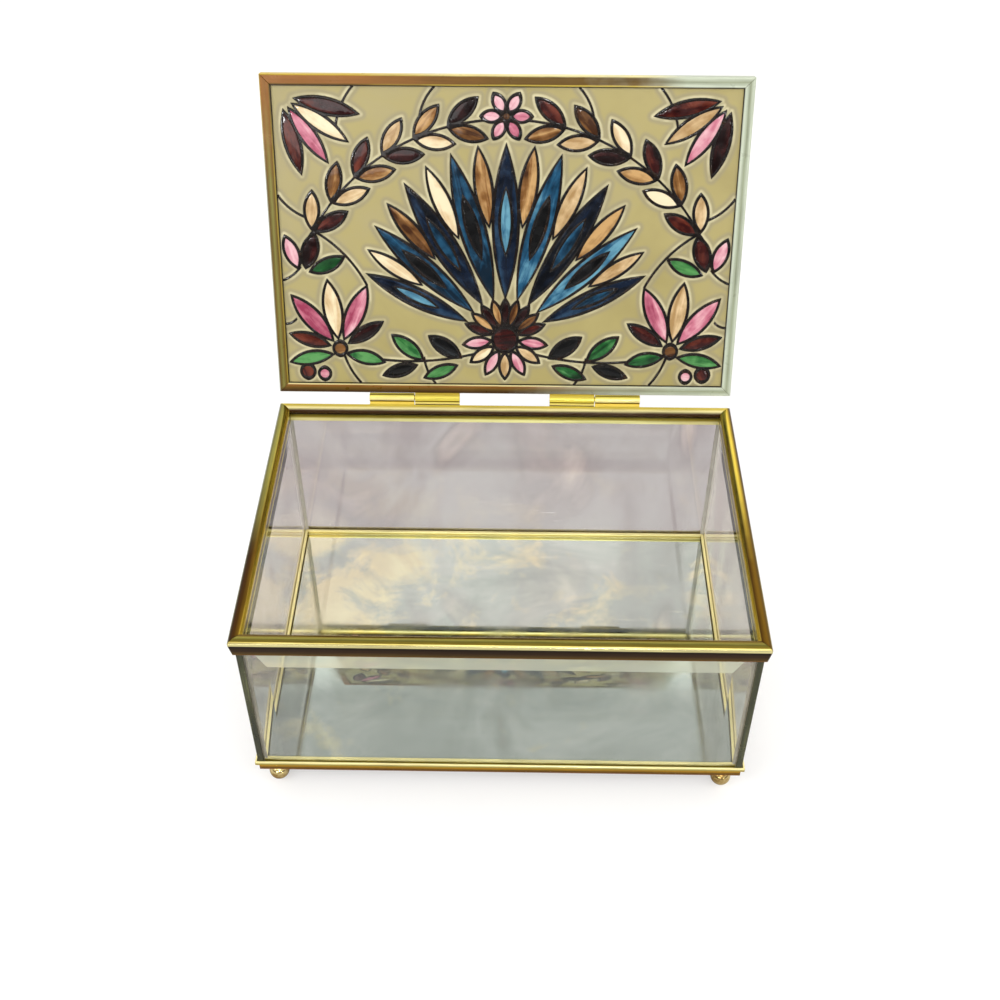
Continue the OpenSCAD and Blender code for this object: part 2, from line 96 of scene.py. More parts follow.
def span(*nodes):
    """The lowest and highest corner of several nodes together."""
    boxes = [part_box(node) for node in nodes]
    low = Vector(min(b[0][i] for b in boxes) for i in range(3))
    high = Vector(max(b[1][i] for b in boxes) for i in range(3))
    return low, high


hinge = next(j for j in frame["joints"] if j["name"] == "lid_hinge")
RIM_LOW, RIM_HIGH = span(*("rim_channel_" + side for side in SIDES))
BASE_LOW, BASE_HIGH = span(*("base_channel_" + side for side in SIDES))
PIN_LOW, PIN_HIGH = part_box("hinge_left_pin")
AXIS = Vector((0, (PIN_LOW.y + PIN_HIGH.y) / 2, (PIN_LOW.z + PIN_HIGH.z) / 2))
OPEN_ANGLE = math.radians(max(abs(a) for a in hinge["range_deg"]))
LID_LEAN = math.pi - OPEN_ANGLE
TO_LID = Matrix.Rotation(-LID_LEAN, 4, "X") @ Matrix.Translation(-AXIS)
LID_OUT = Matrix.Rotation(LID_LEAN, 3, "X") @ Vector((0, 0, 1))


# ---------------------------------------------------------------- mesh tools

def pick(piece):
    """Makes this piece the only one selected, and the active one."""
    bpy.ops.object.select_all(action="DESELECT")
    piece.select_set(True)
    bpy.context.view_layer.objects.active = piece


def edit(piece, mode="FACE"):
    pick(piece)
    bpy.ops.object.mode_set(mode="EDIT")
    bpy.ops.mesh.select_mode(type=mode)
    bpy.ops.mesh.select_all(action="DESELECT")


def done():
    bpy.ops.object.mode_set(mode="OBJECT")


def choose_faces(piece, wanted):
    """Selects the faces that wanted(face) is true of, from object mode, and returns to edit mode."""
    done()
    for face in piece.data.polygons:
        face.select = wanted(face)
    for item in (*piece.data.edges, *piece.data.vertices):
        item.select = False
    for face in piece.data.polygons:
        if face.select:
            for v in face.vertices:
                piece.data.vertices[v].select = True
    bpy.ops.object.mode_set(mode="EDIT")


def finish_with(piece, kind, **settings):
    """Adds a modifier with these settings and applies it."""
    modifier = piece.modifiers.new(kind.lower(), kind)
    for name, value in settings.items():
        setattr(modifier, name, value)
    pick(piece)
    bpy.ops.object.modifier_apply(modifier=modifier.name)


def round_edges(piece, width, segments=2, sharp=SHARP_FOLD):
    """Takes the hard edges off a piece, as polishing does."""
    finish_with(piece, "BEVEL", width=width, segments=segments, limit_method="ANGLE",
                angle_limit=math.radians(sharp), use_clamp_overlap=True, harden_normals=False)


def smooth(piece, angle):
    """Smooth shading over the folds, with the broad faces left truly flat."""
    pick(piece)
    bpy.ops.object.shade_smooth_by_angle(angle=math.radians(angle), keep_sharp_edges=False)
    finish_with(piece, "WEIGHTED_NORMAL", mode="FACE_AREA", weight=100, keep_sharp=True)


def body_of(node):
    return frame["nodes"][node]["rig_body"]


def copied(node, name, flat=0.4):
    """A clean copy of a node's mesh that stands for it and rides on its body."""
    source = frame["nodes"][node]
    piece = bpy.data.objects.new(name, source.data.copy())
    bpy.context.scene.collection.objects.link(piece)
    piece.data.materials.clear()
    pick(piece)
    bpy.ops.mesh.customdata_custom_splitnormals_clear()
    edit(piece)
    bpy.ops.mesh.select_all(action="SELECT")
    bpy.ops.mesh.remove_doubles(threshold=0.001 * MM)
    if flat:
        bpy.ops.mesh.select_all(action="SELECT")
        bpy.ops.mesh.dissolve_limited(angle_limit=math.radians(flat))
    done()
    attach(piece, body_of(node))
    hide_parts(node)
    return piece


def islands(mesh):
    """The loose parts of a mesh, each as a list of vertex numbers."""
    home = list(range(len(mesh.vertices)))

    def root(v):
        while home[v] != v:
            home[v] = home[home[v]]
            v = home[v]
        return v

    for edge in mesh.edges:
        a, b = edge.vertices
        home[root(a)] = root(b)
    parts = {}
    for v in range(len(home)):
        parts.setdefault(root(v), []).append(v)
    return list(parts.values())


# ---------------------------------------------------------------- finishes

def tint(code):
    """A colour of six hex digits as the linear values that a shader takes."""
    parts = [int(code[i:i + 2], 16) / 255 for i in (0, 2, 4)]
    return (*(p / 12.92 if p <= 0.04045 else ((p + 0.055) / 1.055) ** 2.4 for p in parts), 1.0)


class Finish:
    """A material in the making, with its pattern nodes and the shader that they feed."""

    def __init__(self, name, **values):
        self.material = bpy.data.materials.new(name)
        self.material.use_nodes = True
        self.tree = self.material.node_tree
        self.shader = self.tree.nodes["Principled BSDF"]
        self.output = self.tree.nodes["Material Output"]
        self.coordinates = self.make("ShaderNodeTexCoord").outputs["Object"]
        self.set(**values)

    def set(self, **values):
        """Sets or links the shader's sockets: roughness=0.2, base_color=socket."""
        for name, value in values.items():
            self.join(value, self.shader.inputs[name.replace("_", " ").title().replace("Ior", "IOR")])

    def join(self, value, socket):
        if isinstance(value, bpy.types.NodeSocket):
            self.tree.links.new(value, socket)
        else:
            socket.default_value = value

    def make(self, kind, sockets=None, **settings):
        node = self.tree.nodes.new(kind)
        for name, value in settings.items():
            setattr(node, name, value)
        for name, value in (sockets or {}).items():
            self.join(value, node.inputs[name])
        return node

    def stretched(self, stretch, turn=(0, 0, 0), start=None):
        """Coordinates whose pattern is drawn out: a small number makes it long that way."""
        return self.make("ShaderNodeMapping", {
            "Vector": start or self.coordinates, "Rotation": turn, "Scale": stretch,
        }).outputs["Vector"]

    def on_lid(self):
        """Coordinates across the lid, along it from the hinge axis and out of its inner face."""
        return self.make("ShaderNodeMapping", {
            "Vector": self.coordinates, "Location": tuple(AXIS), "Rotation": (LID_LEAN, 0, 0),
        }, vector_type="TEXTURE").outputs["Vector"]

    def noise(self, scale, detail=3.0, rough=0.5, where=None, wander=0.0):
        return self.make("ShaderNodeTexNoise", {
            "Vector": where or self.coordinates, "Scale": scale, "Detail": detail,
            "Roughness": rough, "Distortion": wander,
        }).outputs["Fac"]

    def ramp(self, factor, *stops):
        """Colours along a factor. A stop is a place and a hex colour, or a place and a number."""
        node = self.make("ShaderNodeValToRGB", {"Fac": factor})
        elements = node.color_ramp.elements
        while len(elements) < len(stops):
            elements.new(0.5)
        for element, (place, value) in zip(elements, stops):
            element.position = place
            element.color = tint(value) if isinstance(value, str) else (value, value, value, 1)
        return node.outputs["Color"]

    def mix(self, factor, a, b, how="MIX"):
        node = self.make("ShaderNodeMix", data_type="RGBA", blend_type=how)
        self.join(factor, node.inputs[0])
        self.join(a, node.inputs[6])
        self.join(b, node.inputs[7])
        return node.outputs[2]

    def calc(self, a, b, how="ADD"):
        node = self.make("ShaderNodeMath", operation=how)
        self.join(a, node.inputs[0])
        self.join(b, node.inputs[1])
        return node.outputs[0]

    def axis(self, name, low, high, where=None):
        """How far a point lies from low to high along one axis, from 0 to 1."""
        parts = self.make("ShaderNodeSeparateXYZ", {"Vector": where or self.coordinates})
        return self.make("ShaderNodeMapRange", {
            "Value": parts.outputs[name], "From Min": low, "From Max": high,
        }).outputs["Result"]

    def bump(self, height, depth, strength=1.0):
        """Raises the surface by this pattern, on top of what was raised before."""
        sockets = {"Height": height, "Distance": depth, "Strength": strength}
        before = self.shader.inputs["Normal"]
        if before.is_linked:
            sockets["Normal"] = before.links[0].from_socket
        self.set(normal=self.make("ShaderNodeBump", sockets).outputs["Normal"])

    def light_through(self, colour):
        """Lets lamps shine through glass, so that what it shuts in is lit."""
        path = self.make("ShaderNodeLightPath")
        clear = self.make("ShaderNodeBsdfTransparent", {"Color": colour})
        both = self.make("ShaderNodeMixShader", {"Fac": path.outputs["Is Shadow Ray"]})
        self.join(self.shader.outputs[0], both.inputs[1])
        self.join(clear.outputs[0], both.inputs[2])
        self.join(both.outputs[0], self.output.inputs["Surface"])


RUN = {"across": (0.05, 1, 1), "deep": (1, 0.05, 1), "any": (1, 1, 1)}


def drawn(f, run, start=None):
    """Fine lines left by drawing the sheet, along its run."""
    return f.noise(900, 3, 0.6, f.stretched(RUN[run], start=start))


def brass(name, run, dark, gold, bright, polish):
    """Polished brass: drawn lines, tarnish in patches, fine scratches and wear."""
    f = Finish(name, metallic=1.0)
    lines = drawn(f, run)
    patches = f.noise(70, 4, 0.55, f.stretched(tuple(0.3 + 0.7 * s for s in RUN[run])), 0.4)
    tone = f.calc(f.calc(lines, 0.3, "MULTIPLY"), f.calc(patches, 0.7, "MULTIPLY"))
    f.set(base_color=f.ramp(tone, (0.3, dark), (0.42, gold), (0.56, bright)))
    wear(f, lines, polish)
    return f.material


def wear(f, lines, polish):
    """Specks of tarnish, an uneven polish and slight waves, for brass whose colour is set."""
    colour = f.shader.inputs["Base Color"].links[0].from_socket
    specks = f.ramp(f.noise(2600, 2, 0.7), (0.69, 0.0), (0.74, 0.55))
    f.set(base_color=f.mix(specks, colour, tint("4a2c0c")))
    f.set(roughness=f.ramp(f.noise(240, 4, 0.6), (0.3, polish - 0.04), (0.7, polish + 0.1)))
    f.bump(lines, 0.006 * MM, 0.5)
    f.bump(f.noise(120, 2), 0.03 * MM, 0.5)


def painted_reflection_brass(name, run, section, ends, tones, metal, polish=0.14, lid=False, low=None, tilt=None):
    """Brass whose folds carry painted reflections: bands of painted highlight and painted shade across each
    section.

    section is the axis across it with its outer and inner edge, and ends is the axis along it with
    its two ends. tones holds, for some places along the run, the colours in section order. low, where
    there is one, is a height with its own tones, told by height, for all that lies under it. tilt
    leans the section over, for round parts.
    """
    f = Finish(name, metallic=metal, specular_ior_level=0.25)
    start = f.on_lid() if lid else f.stretched((1, 1, 1), (tilt, 0, 0)) if tilt else f.coordinates
    lines = drawn(f, run, start)
    sway = f.calc(f.calc(f.noise(90, 3), 0.5, "SUBTRACT"), 0.05, "MULTIPLY")
    across = f.calc(f.axis(*section, start), sway)
    drift = f.calc(f.calc(f.noise(55, 4), 0.5, "SUBTRACT"), 0.3, "MULTIPLY")
    along = f.calc(f.axis(*ends, start), drift)

    def named(stops):
        return [(at, PAINTED_BRASS_TONES[tone]) for at, tone in stops]

    def laid(factor, stops):
        colour = f.ramp(factor, *named(stops[0][1]))
        for (here, _), (there, next_stops) in zip(stops, stops[1:]):
            share = f.ramp(along, (here, 0.0), (there, 1.0))
            colour = f.mix(share, colour, f.ramp(factor, *named(next_stops)))
        return colour

    # Painted reflections: highlight and shade bands across the section, blended along the run; under the
    # crest they are told by height
    colour = laid(across, tones)
    if low:
        edge, bottom, top, under_reflections, under_metal = low
        under = laid(f.calc(f.axis("Z", bottom, top), sway), under_reflections)
        below = f.ramp(f.axis("Z", edge - 0.1 * MM, edge + 0.1 * MM), (0.0, 1.0), (1.0, 0.0))
        colour = f.mix(below, colour, under)
        f.set(metallic=f.calc(f.calc(below, under_metal - metal, "MULTIPLY"), metal))
    shade = f.ramp(lines, (0.3, 0.72), (0.5, 0.95), (0.7, 1.0))
    f.set(base_color=f.mix(1.0, colour, shade, "MULTIPLY"))
    wear(f, lines, polish)
    return f.material


# Each side's glass: its mauve-grey tint, darker at the back and sides as painted shade, and the colour that
# lamps pass through
WALL_TINTS_AND_PAINTED_SHADE = {
    "front": ("dcdfda", "eff1ee", "fafbf9"),
    "back": ("aea5a6", "bab4b4", "e6e2e2"),
    "left": ("bcb4b2", "ccc6c2", "eeeae6"),
    "right": ("ccc4be", "ddd7cd", "eeeae6"),
}


def wall_glass(side):
    """Bevelled plate with a mauve-grey cast, darker on the back and side plates as painted shade, faint
    smears that are painted reflections of the room, dust and hair scratches.
    """
    deep, pale, through = WALL_TINTS_AND_PAINTED_SHADE[side]
    f = Finish(side + "_plate_glass", transmission_weight=1.0, ior=1.5)
    # Painted reflections of the room: soft pale and pinkish patches in the glass's colour
    painted_reflections = f.noise(24, 4, 0.55, f.stretched((1, 1, 0.45)), 0.9)
    tint_and_reflections = f.ramp(painted_reflections, (0.32, deep), (0.5, pale), (0.62, deep), (0.75, "d2c4be"))
    hairs = f.noise(700, 3, 0.75, f.stretched((0.08, 0.08, 1)))
    where = f.ramp(f.noise(20), (0.55, 0.0), (0.65, 0.8))
    scuffed = f.calc(f.ramp(hairs, (0.66, 0.0), (0.72, 1.0)), where, "MULTIPLY")
    f.set(base_color=f.mix(scuffed, tint_and_reflections, tint("fbf6ee")), roughness=0.0)
    f.bump(f.noise(22, 1), 0.02 * MM, 0.4)
    f.light_through(tint(through))
    return f.material


def bevel_painted_light():
    """The bevel's face, with a pale painted light band in the glass that stands for the light seen through
    the bevel.
    """
    f = Finish("bevel_face_glass", transmission_weight=0.6, ior=1.5)
    painted_light_band = f.noise(60, 4, 0.5, f.stretched((0.4, 0.4, 1)), 0.5)
    f.set(base_color=f.ramp(painted_light_band, (0.3, "dee4d0"), (0.5, "eaecd4"), (0.7, "f8f2d2")), roughness=0.02)
    f.bump(f.noise(50, 2), 0.02 * MM, 0.4)
    f.light_through(tint("eef0ea"))
    return f.material


def hidden_edge():
    """The ground edges that meet another plate, pale where they show through the glass."""
    f = Finish("hidden_glass_edge", specular_ior_level=0.2)
    grains = f.noise(900, 3, 0.6)
    f.set(base_color=f.ramp(grains, (0.3, "5a563c"), (0.5, "86806a"), (0.7, "c8c2ac")), roughness=0.6)
    f.bump(grains, 0.01 * MM, 0.5)
    return f.material


def glass_edge():
    """The sawn and ground edge of plate glass, dark olive from the long way through it."""
    f = Finish("ground_glass_edge", transmission_weight=0.35, ior=1.5)
    lines = f.noise(500, 3, 0.6, f.stretched((1, 1, 0.05)))
    f.set(base_color=f.ramp(lines, (0.3, "1c1e08"), (0.5, "3e401c"), (0.7, "6c6e46")))
    f.set(roughness=f.ramp(f.noise(300), (0.3, 0.12), (0.7, 0.3)))
    f.bump(lines, 0.02 * MM, 0.5)
    return f.material


def mirror_glass():
    """Old mirror: silver hazed and wiped in blurry patches, with painted reflections of the room as cream
    patches on the left and darker diagonal bars on the right, bowed a little towards the front.
    """
    f = Finish("floor_mirror_silver", metallic=1.0, coat_weight=0.6, coat_roughness=0.02)
    haze = f.noise(30, 5, 0.6, f.stretched((0.7, 1, 1), (0, 0, 0.6)), 1.2)
    silver = f.ramp(haze, (0.32, "bcc8c0"), (0.5, "ccd6ce"), (0.66, "d8e0d8"))
    # Painted reflection: cream patches over the left half, fewer towards the front
    to_the_left = f.ramp(f.axis("X", -0.075, 0.03), (0.0, 0.16), (1.0, -0.12))
    painted_cream_reflection = f.calc(f.noise(42, 6, 0.65, None, 0.4), to_the_left)
    painted_cream_reflection = f.calc(painted_cream_reflection, f.ramp(f.axis("Y", -0.055, -0.02), (0.0, 0.1), (1.0, 0.0)), "SUBTRACT")
    silver = f.mix(f.ramp(painted_cream_reflection, (0.56, 0.0), (0.72, 0.9)), silver, tint("f4f0cc"))
    # Painted reflection: darker diagonal bars over the right-hand back part
    painted_dark_bars = f.noise(16, 2, 0.4, f.stretched((1, 0.25, 1), (0, 0, -0.75)), 0.6)
    side = f.ramp(f.axis("X", -0.02, 0.04), (0.0, 0.0), (1.0, 0.7))
    side = f.calc(side, f.ramp(f.axis("Y", -0.04, -0.02), (0.0, 0.0), (1.0, 1.0)), "MULTIPLY")
    painted_dark_bars = f.calc(f.ramp(painted_dark_bars, (0.48, 0.0), (0.56, 1.0)), side, "MULTIPLY")
    silver = f.mix(painted_dark_bars, silver, tint("b4bcb6"))
    wiped = f.noise(420, 4, 0.7, f.stretched((0.08, 1, 1)))
    where = f.ramp(f.noise(26), (0.52, 0.0), (0.64, 0.7))
    scuffed = f.calc(f.ramp(wiped, (0.62, 0.0), (0.72, 1.0)), where, "MULTIPLY")
    f.set(base_color=f.mix(scuffed, silver, tint("fff8e6")))
    f.set(roughness=f.calc(f.ramp(haze, (0.4, 0.02), (0.75, 0.14)), f.ramp(wiped, (0.5, 0.0), (0.8, 0.06))))
    f.bump(f.noise(40, 2), 0.01 * MM, 0.3)
    depth = f.make("ShaderNodeSeparateXYZ", {"Vector": f.coordinates}).outputs["Y"]
    away = f.calc(depth, BOW_START, "SUBTRACT")
    fall = f.calc(f.calc(f.calc(away, 0.0, "MINIMUM"), 2.0, "POWER"), -0.5 / BOW_RADIUS, "MULTIPLY")
    f.bump(fall, 1.0)
    return f.material


def adhesive():
    """Clear adhesive, slightly yellowed, with small bubbles."""
    f = Finish("corner_adhesive", transmission_weight=0.55, ior=1.45)
    clouds = f.noise(220, 4, 0.6)
    f.set(base_color=f.ramp(clouds, (0.3, "cac4bc"), (0.7, "e2ddd4")))
    f.set(roughness=f.ramp(clouds, (0.3, 0.02), (0.7, 0.2)))
    f.bump(f.noise(900, 3), 0.05 * MM)
    f.light_through(tint("d8d2c2"))
    return f.material


def card():
    """Dark felt-like card under the mirror."""
    f = Finish("backing_card")
    fibres = f.noise(1500, 5, 0.7)
    f.set(base_color=f.ramp(fibres, (0.3, "1c1714"), (0.7, "3a322d")), roughness=0.92)
    f.bump(fibres, 0.05 * MM)
    return f.material


def lid_ground():
    """Khaki frosting behind the art, greyer round the leading as a painted shadow, and paler where it meets
    the leading.
    """
    f = Finish("khaki_frosting")
    halo_and_shadow = f.make("ShaderNodeAttribute", attribute_name="halo_and_shadow").outputs["Fac"]
    clouds = f.noise(26, 4, 0.55, None, 0.5)
    even = f.ramp(clouds, (0.3, "a6985e"), (0.5, "b0a266"), (0.75, "aca076"))
    # Painted shadow: the ground greyer in a band about two millimetres wide round the leading
    shaded_by_leading = f.mix(f.ramp(halo_and_shadow, (0.05, 0.0), (0.45, 0.75), (0.7, 0.55)), even, tint("9c9272"))
    fringe = f.ramp(f.noise(120, 2), (0.4, 0.35), (0.6, 1.0))
    bright = f.calc(f.ramp(halo_and_shadow, (0.56, 0.0), (0.86, 0.9)), fringe, "MULTIPLY")
    f.set(base_color=f.mix(bright, shaded_by_leading, tint("e6dcb0")))
    f.set(roughness=f.ramp(f.noise(90, 4), (0.3, 0.3), (0.7, 0.45)))
    f.bump(f.noise(1300, 3, 0.6), 0.012 * MM, 0.6)
    f.bump(f.noise(45, 2), 0.05 * MM, 0.4)
    return f.material


def clear_plate():
    """The clear plate that carries the art."""
    f = Finish("clear_lid_plate", transmission_weight=1.0, ior=1.5)
    f.set(base_color=f.ramp(f.noise(30, 3), (0.3, "dfe3da"), (0.7, "edf0e8")))
    f.set(roughness=f.ramp(f.noise(60, 4), (0.45, 0.0), (0.8, 0.04)))
    f.light_through(tint("e4e6de"))
    return f.material


def lead():
    """Glossy black-brown relief line."""
    f = Finish("relief_leading", coat_weight=0.45, coat_roughness=0.03, specular_ior_level=0.15)
    f.set(base_color=f.ramp(f.noise(350, 3), (0.35, "070505"), (0.6, "1a100b"), (0.75, "33200f")))
    f.set(roughness=f.ramp(f.noise(500, 3), (0.3, 0.12), (0.7, 0.35)))
    f.bump(f.noise(600, 3, 0.6), 0.09 * MM)
    return f.material


INLAY_TONES = {
    "navy": ("03060e", "0a1a30", "24425e", 0.56),
    "teal": ("071f30", "1f5476", "68a0b6", 0.51),
    "black": ("030304", "0c0d10", "2c3236", 0.62),
    "green": ("0a2c14", "1f602c", "5c9c58", 0.51),
    "maroon": ("140303", "380b09", "70301f", 0.52),
    "pink": ("9c3c58", "d07c90", "f0c0c6", 0.47),
    "cream": ("b08c5c", "e0c294", "f6e6c0", 0.47),
    "amber": ("42240e", "865a2e", "cca26a", 0.51),
}


def inlay(colour):
    """Glossy streaked glass, its streaks drawn along each piece and each piece of its own depth."""
    deep, middle, pale, even = INLAY_TONES[colour]
    f = Finish(colour + "_glass", coat_weight=0.45, coat_roughness=0.04, specular_ior_level=0.15)
    grain = f.make("ShaderNodeUVMap", uv_map="grain").outputs["UV"]
    shade = f.make("ShaderNodeAttribute", attribute_name="shade").outputs["Fac"]
    streaks = f.noise(260, 4, 0.6, f.stretched((0.16, 1, 1), start=grain), 0.9)
    clouds = f.noise(180, 3, 0.5)
    tone = f.calc(f.calc(streaks, 0.65, "MULTIPLY"), f.calc(clouds, 0.35, "MULTIPLY"))
    tone = f.calc(tone, f.calc(f.calc(shade, 0.5, "SUBTRACT"), 0.22, "MULTIPLY"))
    f.set(base_color=f.ramp(tone, (even - 0.14, deep), (even, middle), (even + 0.14, pale)))
    f.set(roughness=f.ramp(clouds, (0.3, 0.14), (0.7, 0.34)))
    f.bump(f.noise(300, 2, 0.5), 0.12 * MM)
    f.bump(streaks, 0.03 * MM)
    return f.material


# ---------------------------------------------------------------- pieces

def coat(piece, *materials):
    piece.data.materials.clear()
    for material in materials:
        piece.data.materials.append(material)


# Tones for painted reflections: the pale ones are painted highlights and the dark ones painted shade
# The brass colours that the folds are made up from
PAINTED_BRASS_TONES = {
    "shine": "fff2ac",
    "lemon": "f8e864",
    "gold": "dcc04a",
    "amber": "c8901a",
    "honey": "a89234",
    "olive": "86803e",
    "tan": "94602a",
    "bronze": "684c10",
    "umber": "3c2406",
    "ink": "1a0e00",
    "silver": "ccd4be",
    "pewter": "9ca488",
}


def folds(places, tones):
    """One tone for each fold of a section, as pairs of place and tone."""
    return tuple(zip(places, tones.split()))


# The rim's roll: outer edge, outer slope, flat, inner slope and lip
ROLL = (0.0, 0.15, 0.45, 0.75, 0.95)
# The rim's skirt or leg: foot, face, bend, shoulder and crest
SKIRT = (0.0, 0.15, 0.5, 0.65, 0.95)
# The base: foot, leg, top of the leg, ledge, root of the lip, face of the lip and its top
STEP = (0.0, 0.2, 0.4, 0.5, 0.6, 0.8, 0.95)
# The lid's frame: edge, round, face, inner round, rise and the shadow by the glass
FRAME = (0.0, 0.15, 0.45, 0.75, 0.85, 0.95)
FRONT_END, MIDDLE, BACK_END = 0.3, 0.5, 0.7
# Painted reflections on the rim's roll: pale painted highlights and dark painted shade, different for each
# side and changing along the sides
RIM_PAINTED_REFLECTIONS = {
    "front": ((MIDDLE, folds(ROLL, "shine honey olive bronze gold")),),
    "back": ((MIDDLE, folds(ROLL, "shine lemon gold shine umber")),),
    "left": ((FRONT_END, folds(ROLL, "olive umber umber bronze gold")),
             (BACK_END, folds(ROLL, "silver olive olive honey gold"))),
    "right": ((FRONT_END, folds(ROLL, "honey bronze bronze umber gold")),
              (BACK_END, folds(ROLL, "umber bronze gold olive honey"))),
}
# Painted shade on the front skirt under the crest, and bright painted reflections on the back and side legs
UNDER_PAINTED_REFLECTIONS = {
    "front": ((MIDDLE, folds(SKIRT, "tan bronze umber umber ink")),),
    "back": ((MIDDLE, folds(SKIRT, "lemon shine shine honey ink")),),
    "left": ((MIDDLE, folds(SKIRT, "shine shine honey umber bronze")),),
    "right": ((MIDDLE, folds(SKIRT, "shine shine honey umber honey")),),
}
# Painted highlights and painted shade on the base's folds: bright towards the top of the lip, dark lines at
# the ledge
BASE_PAINTED_REFLECTIONS = {
    "front": ((MIDDLE, folds(STEP, "tan bronze amber amber gold honey shine")),),
    "back": ((MIDDLE, folds(STEP, "tan bronze gold umber shine honey shine")),),
    "left": ((MIDDLE, folds(STEP, "tan amber gold umber ink honey shine")),),
}
BASE_PAINTED_REFLECTIONS["right"] = BASE_PAINTED_REFLECTIONS["left"]
# The lid's frame, as painted reflections: warm brass, darker by the hinges, and a silvery painted
# reflection towards the right
WARM_REFLECTION = folds(FRAME, "gold tan tan tan bronze ink")
DARK_REFLECTION = folds(FRAME, "shine bronze bronze bronze gold ink")
SILVERY_REFLECTION = folds(FRAME, "silver silver pewter silver silver ink")
DULL_REFLECTION = folds(FRAME, "silver bronze olive bronze honey ink")
LID_PAINTED_REFLECTIONS = {
    "front": ((0.2, WARM_REFLECTION), (0.5, DARK_REFLECTION), (0.7, DARK_REFLECTION), (0.9, SILVERY_REFLECTION)),
    "back": ((0.5, folds(FRAME, "bronze umber bronze tan shine ink")), (0.9, SILVERY_REFLECTION)),
    "left": ((0.7, DULL_REFLECTION), (1.0, WARM_REFLECTION)),
    "right": ((MIDDLE, SILVERY_REFLECTION),),
}
RUNS = {"front": "across", "back": "across", "left": "deep", "right": "deep"}
# How much each brass shines as metal, where the rest is the plain tone
RIM_METAL = {"front": 0.9, "back": 0.12, "left": 0.9, "right": 0.9}
LEG_METAL = {"front": 1.0, "back": 0.6, "left": 0.35, "right": 0.35}
BASE_METAL, LID_METAL, HINGE_METAL = 0.4, 0.1, 0.3
LID_POLISH, PIN_POLISH, FOOT_POLISH = 0.3, 0.22, 0.08
# How far down from the rim's top its crest lies, and how tall the base's section is
RIM_CREST, BASE_RISE = 1.95 * MM, 5.2 * MM
# How the hinges lean, seen from the end, and how far their tones reach below and above the pin
HINGE_TILT = math.radians(41)
HINGE_BELOW, HINGE_ABOVE = 3.4 * MM, 1.7 * MM
# Where the painted shade lines at the hinges' seams lie, for the outer and the inner knuckles
HINGE_SHADE_LINES = {"outer": (0.39, 0.85), "inner": (0.15, 0.38)}
# The plates' materials in their slots, after the wall's own
GROUND_EDGE, BEVEL_FACE, HIDDEN_EDGE = 1, 2, 3
# Where the mirror begins to bow towards the front, and the radius of the bow
BOW_START, BOW_RADIUS = -0.017, 0.6


def edges(low, high, side, width):
    """The axis across a side, with its outer edge and the edge that lies width further in."""
    if side in ("front", "back"):
        return ("Y", low.y, low.y + width) if side == "front" else ("Y", high.y, high.y - width)
    return ("X", low.x, low.x + width) if side == "left" else ("X", high.x, high.x - width)


def ends_of(low, high, side):
    return ("X", low.x, high.x) if side in ("front", "back") else ("Y", low.y, high.y)


def corners_on_lid(*meshes):
    """The lowest and highest corner of meshes together, in the lid's own directions."""
    points = [TO_LID @ v.co for mesh in meshes for v in mesh.vertices]
    return (Vector(min(p[i] for p in points) for i in range(3)),
            Vector(max(p[i] for p in points) for i in range(3)))


def brass_sections():
    """The rim, the base and the lid's frame: folded sections with rounded folds."""
    rim_width = RIM_HIGH.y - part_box("rim_channel_back")[0].y
    crest = RIM_HIGH.z - RIM_CREST
    channels = {side: frame["nodes"]["lid_channel_" + side].data for side in SIDES}
    lid_low, lid_high = corners_on_lid(*channels.values())
    left_low, left_high = corners_on_lid(channels["left"])
    lid_width = left_high.x - left_low.x
    for side in SIDES:
        run = RUNS[side]
        rim = copied("rim_channel_" + side, "rim_section_" + side)
        round_edges(rim, RIM_ROUND)
        smooth(rim, SOFT_BRASS)
        coat(rim, painted_reflection_brass("rim_brass_" + side, run, edges(RIM_LOW, RIM_HIGH, side, rim_width),
                        ends_of(RIM_LOW, RIM_HIGH, side), RIM_PAINTED_REFLECTIONS[side], RIM_METAL[side],
                        low=(crest, RIM_LOW.z, crest, UNDER_PAINTED_REFLECTIONS[side], LEG_METAL[side])))
        base = copied("base_channel_" + side, "base_section_" + side)
        round_edges(base, BASE_ROUND)
        smooth(base, SOFT_BRASS)
        coat(base, painted_reflection_brass("base_brass_" + side, run, ("Z", BASE_LOW.z, BASE_LOW.z + BASE_RISE),
                         ends_of(BASE_LOW, BASE_HIGH, side), BASE_PAINTED_REFLECTIONS[side], BASE_METAL))
        frame_side = copied("lid_channel_" + side, "lid_frame_" + side)
        round_edges(frame_side, LID_ROUND, 3)
        smooth(frame_side, SOFT_BRASS)
        across = edges(lid_low, lid_high, {"front": "back", "back": "front"}.get(side, side), lid_width)
        coat(frame_side, painted_reflection_brass("lid_brass_" + side, run, across, ends_of(lid_low, lid_high, side),
                               LID_PAINTED_REFLECTIONS[side], LID_METAL, LID_POLISH, lid=True))


def knuckle_painted_light(first, second):
    """The tones of a hinge from its foot up: bright brass with a painted highlight on the knuckle and a
    dark line of painted shade at the seam on each side of it.
    """
    half, edge, far = 0.02, 0.04, 0.06
    return ((0.0, "gold"), (first - edge, "gold"), (first - half, "umber"), (first + half, "umber"),
            (first + far, "shine"), (second - edge, "lemon"), (second - half, "bronze"),
            (second + half, "bronze"), (second + far, "lemon"), (1.0, "gold"))


